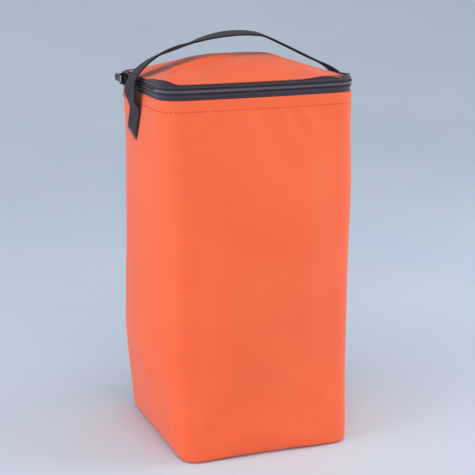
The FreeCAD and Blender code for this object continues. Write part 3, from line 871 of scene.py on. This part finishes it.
# %% Start a material
class Finish:
    """A material with a Principled shader and short ways to add nodes to it."""

    def __init__(self, name, roughness, metallic=0.0, sheen=0.0, specular=0.5):
        self.material = bpy.data.materials.new(name)
        self.material.use_nodes = True
        self.tree = self.material.node_tree
        self.shader = self.tree.nodes["Principled BSDF"]
        self.shader.inputs["Roughness"].default_value = roughness
        self.shader.inputs["Metallic"].default_value = metallic
        self.shader.inputs["Sheen Weight"].default_value = sheen
        self.shader.inputs["Specular IOR Level"].default_value = specular
        self.where = self.node("ShaderNodeTexCoord").outputs["Object"]

    def node(self, kind, **settings):
        made = self.tree.nodes.new(kind)
        for key, value in settings.items():
            setattr(made, key, value)
        return made

    def join(self, a, b):
        self.tree.links.new(a, b)
        return b

    def noise(self, scale, detail=3.0, rough=0.55):
        made = self.node("ShaderNodeTexNoise")
        self.join(self.where, made.inputs["Vector"])
        made.inputs["Scale"].default_value = scale
        made.inputs["Detail"].default_value = detail
        made.inputs["Roughness"].default_value = rough
        return made.outputs["Fac"]

    def wave(self, scale, direction, distortion=0.0):
        made = self.node("ShaderNodeTexWave", wave_type="BANDS", bands_direction=direction)
        self.join(self.where, made.inputs["Vector"])
        made.inputs["Scale"].default_value = scale
        made.inputs["Distortion"].default_value = distortion
        return made.outputs["Fac"]

    def maths(self, operation, a, b):
        made = self.node("ShaderNodeMath", operation=operation)
        for socket, value in zip(made.inputs, (a, b)):
            if isinstance(value, (int, float)):
                socket.default_value = value
            else:
                self.join(value, socket)
        return made.outputs[0]

    def ramp(self, fac, *stops):
        made = self.node("ShaderNodeValToRGB")
        self.join(fac, made.inputs["Fac"])
        while len(made.color_ramp.elements) < len(stops):
            made.color_ramp.elements.new(0.5)
        for element, (place, colour) in zip(made.color_ramp.elements, stops):
            element.position, element.color = place, colour
        return made.outputs["Color"]

    def colour(self, socket):
        self.join(socket, self.shader.inputs["Base Color"])

    def bump(self, height, distance, strength=1.0):
        made = self.node("ShaderNodeBump")
        made.inputs["Distance"].default_value = distance
        made.inputs["Strength"].default_value = strength
        self.join(height, made.inputs["Height"])
        self.join(made.outputs["Normal"], self.shader.inputs["Normal"])


def mottled(name, roughness, scale, dark, light, detail=3.0, **more):
    """A finish whose colour wanders softly between two, as dyed cloth and thread do."""
    finish = Finish(name, roughness, **more)
    fac = finish.noise(scale, detail)
    finish.colour(finish.ramp(fac, (0.3, srgb(*dark)), (0.7, srgb(*light))))
    return finish


def dress(piece, finish):
    """Give a piece this finish and no other."""
    piece.data.materials.clear()
    piece.data.materials.append(finish.material)


print("materials so far:", len(bpy.data.materials))

# %% [markdown]
# ## Coated orange cloth
# The cover is a close-woven nylon with a soft coating: an even, bright orange with a dull
# shine. Its grain is fine, so the weave is a shallow bump and the colour varies very little.

# %% Mix the cloth's finish
orange = mottled("coated_orange_cloth", 0.6, 14.0, (246, 100, 58), (250, 107, 64),
                 detail=4.0, sheen=0.16, specular=0.25)
orange.shader.inputs["Sheen Roughness"].default_value = 0.45
grain = orange.maths("ADD", orange.noise(1400.0, 2.0), orange.noise(320.0, 2.0))
orange.bump(grain, 0.00008, 0.6)

thread = mottled("orange_thread", 0.7, 900.0, (196, 58, 34), (218, 74, 46), sheen=0.2)
thread.bump(thread.noise(2500.0), 0.00005)
print("orange finishes:", orange.material.name, thread.material.name)

# %% [markdown]
# ## Black webbing and zipper cloth
# Nylon webbing is woven in ribs across its width, and zipper tape in much finer ones. The
# ribs follow the strap on its own map, and its cut end is sealed by heat and paler. The coil
# is dark nylon too, with a painted highlight: its tips, where the two rows meet, are painted pale.

# %% Weave the webbing's finish
webbing = Finish("black_webbing", 0.8, sheen=0.08, specular=0.2)
webbing.where = webbing.node("ShaderNodeUVMap", uv_map="weave").outputs["UV"]
weave = webbing.maths("MULTIPLY", webbing.wave(185.0, "X"), webbing.wave(150.0, "Y"))
fibres = webbing.maths("MULTIPLY", webbing.noise(700.0), 0.4)
woven = webbing.ramp(webbing.maths("ADD", weave, fibres),
                     (0.15, srgb(24, 19, 27)), (1.0, srgb(78, 66, 82)))
split = webbing.node("ShaderNodeSeparateXYZ")
webbing.join(webbing.where, split.inputs[0])
sealed = webbing.node("ShaderNodeMix", data_type="RGBA")
webbing.join(webbing.maths("LESS_THAN", split.outputs["X"], 0.0026), sealed.inputs[0])
webbing.join(woven, sealed.inputs[6])
sealed.inputs[7].default_value = srgb(104, 92, 112)
webbing.colour(sealed.outputs[2])
webbing.bump(weave, 0.0005, 0.9)

dark_thread = mottled("dark_thread", 0.6, 900.0, (44, 36, 48), (84, 74, 92), sheen=0.1)
dark_thread.bump(dark_thread.noise(2500.0), 0.00005)
print("webbing finish has", len(webbing.tree.nodes), "nodes")

# %% Mix the zipper's finishes
tape_cloth = mottled("zipper_cloth", 0.68, 900.0, (42, 32, 46), (58, 48, 66),
                     sheen=0.3, specular=0.3)
tape_cloth.bump(tape_cloth.wave(900.0, "Z"), 0.00012, 0.7)

coil_plastic = Finish("coil_nylon", 0.35, specular=0.6)
height = coil_plastic.node("ShaderNodeSeparateXYZ")
coil_plastic.join(coil_plastic.where, height.inputs[0])
# Painted highlight: the ramp paints the coil pale within about 0.6 mm of the middle line, where the
# two rows meet, and dark beyond 1.2 mm.
off = coil_plastic.maths("SUBTRACT", height.outputs["Z"], zip_centre * MM)
off = coil_plastic.maths("MULTIPLY", coil_plastic.maths("ABSOLUTE", off, 0), 300.0)
coil_plastic.colour(coil_plastic.ramp(off, (0.18, srgb(140, 130, 152)), (0.36, srgb(50, 41, 56))))
coil_plastic.bump(coil_plastic.noise(1800.0), 0.00003)
print("black finishes ready")

# %% [markdown]
# ## Lining and metal
# The lining is a plain dark nylon with faint creases. Slider, pull and stops are cast metal,
# painted dark and worn bright where they are touched.

# %% Mix the inside and metal finishes
lining_cloth = mottled("lining_nylon", 0.5, 30.0, (58, 60, 66), (72, 74, 80), sheen=0.15)
creases = lining_cloth.maths("ADD", lining_cloth.wave(500.0, "Z"), lining_cloth.noise(60.0))
lining_cloth.bump(creases, 0.0001, 0.5)


def metal_finish(name, dark, bright, roughness):
    """Cast metal whose paint is worn bright in patches of fine noise."""
    metal = Finish(name, roughness, metallic=0.85)
    metal.colour(metal.ramp(metal.noise(260.0, 5.0), (0.45, dark), (0.72, bright)))
    metal.bump(metal.noise(900.0), 0.00004, 0.5)
    return metal


slider_metal = metal_finish("slider_metal", srgb(30, 28, 34), srgb(84, 84, 94), 0.45)
pull_metal = metal_finish("pull_metal", srgb(52, 50, 58), srgb(150, 152, 160), 0.38)
print("inside and metal finishes ready")

# %% [markdown]
# ## Dress the pieces and tie them to the bag's parts
# Each piece gets its finish, rides on the body that carries it and stands for the plain
# solids that it covers. The hinge's ribbon and the handle only have their places baked into their
# meshes.
# Slider, pull and stops are kept from the imported model and only get their metal.

# %% Put the finishes on
dress(cover, orange)
dress(lid, orange)
dress(top_stitches, thread)
for piece in (lower_tape, upper_tape, binding):
    dress(piece, tape_cloth)
for piece in (lower_coil, upper_coil):
    dress(piece, coil_plastic)
for piece in (lining, lid_panel):
    dress(piece, lining_cloth)
dress(strap, webbing)
dress(left_box, dark_thread)
dress(right_box, dark_thread)
for node, metal in (("slider", slider_metal), ("pull_tab", pull_metal),
                    ("zip_end_stops", slider_metal)):
    dress(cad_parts[node], metal)
print("pieces dressed")

# %% Let the pieces ride
for piece in (cover, lower_tape, lower_coil, lining, top_stitches, left_box, right_box):
    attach(piece, "bag")
for piece in (lid, upper_tape, upper_coil, lid_panel):
    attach(piece, "lid")
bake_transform(binding)
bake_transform(strap)

# %% Say which plain solids each piece stands for
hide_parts("body_cover", "base_cover", "body_foam", "base_foam")
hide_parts("lid_cover", "lid_foam")
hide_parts("body_lining", "mouth_facing", "base_lining")
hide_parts("lid_lining")
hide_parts("lower_zip_tape")
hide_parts("upper_zip_tape")
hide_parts("lower_zip_teeth")
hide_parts("upper_zip_teeth")
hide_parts("hinge_band_lower", "hinge_band_upper")
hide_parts("handle_loop", "handle_tail_left", "handle_tail_right")
print("plain solids replaced: 19")

# %% List the padded pieces
print("padded pieces: cover, lid cushion and inner panel")

# %% [markdown]
# ## Floor, light and camera
# A pale sweep with a rounded corner shows the bag plainly, without a horizon behind it.
# Three large soft lamps give an even light with a gentle shine down both sides; small lamps
# would draw hard shadows of the strap across the lid.

# %% Roll out the floor
def floor_sweep():
    """Floor and backdrop: flat, then a quarter circle up, then straight, the same all across."""
    a = np.linspace(0, np.pi / 2, 40)
    run = np.concatenate([[-5000, -1000, 0, 900], 1000 + 3000 * np.sin(a), [4000, 4000]])
    rise = np.concatenate([[0, 0, 0, 0], 3000 * (1 - np.cos(a)), [5000, 7000]])
    x = np.linspace(-9000, 9000, 9)
    points = np.stack(np.broadcast_arrays(x[None, :], run[:, None], rise[:, None]), -1)
    return put_mesh("floor", points, [f[::-1] for f in grid_faces(len(run), 9, ring=False)])


floor = floor_sweep()
dress(floor, mottled("pale_paper", 0.85, 3.0, (205, 220, 236), (211, 225, 240)))
print("floor faces:", len(floor.data.polygons))

# %% Place the lamps
def lamp(name, place, aim, size, power):
    """A square area lamp at a place in metres, turned to face its aim."""
    data = bpy.data.lights.new(name, "AREA")
    data.shape, data.size, data.energy = "SQUARE", size, power
    made = bpy.data.objects.new(name, data)
    bpy.context.scene.collection.objects.link(made)
    made.location = place
    away = np.array(place) - np.array(aim)
    made.rotation_euler = (math.atan2(math.hypot(away[0], away[1]), away[2]), 0,
                           math.atan2(away[0], -away[1]))


lamp("key", (-0.35, -1.4, 1.75), (0, 0, 0.17), 1.7, 15)
lamp("left_side", (-1.6, -0.3, 0.45), (0, 0, 0.15), 1.0, 12)
lamp("right_side", (1.6, -0.6, 0.6), (0, 0, 0.15), 1.0, 13)
world = bpy.data.worlds.new("soft_room")
world.use_nodes = True
world.node_tree.nodes["Background"].inputs["Color"].default_value = (1, 1, 1, 1)
world.node_tree.nodes["Background"].inputs["Strength"].default_value = 0.55
bpy.context.scene.world = world
print("lamps:", len(bpy.data.lights))

# %% [markdown]
# ## The camera
# A long lens from a little way off, slightly above the lid and to the left of the front,
# shows two sides and the strap with hardly any distortion.

# %% Place the camera
camera_data = bpy.data.cameras.new("camera")
camera_data.lens, camera_data.sensor_width = 95.5, 36.0
camera = bpy.data.objects.new("camera", camera_data)
camera.location = (-0.3834, -0.9856, 0.4390)
camera.rotation_euler = (math.radians(75.6), 0, math.radians(-21.4))
bpy.context.scene.collection.objects.link(camera)
bpy.context.scene.camera = camera
bpy.context.scene.view_settings.view_transform = "Standard"
print("camera", tuple(camera.location))

# %% [markdown]
# ## Last update

# %% Update the view layer
bpy.context.view_layer.update()
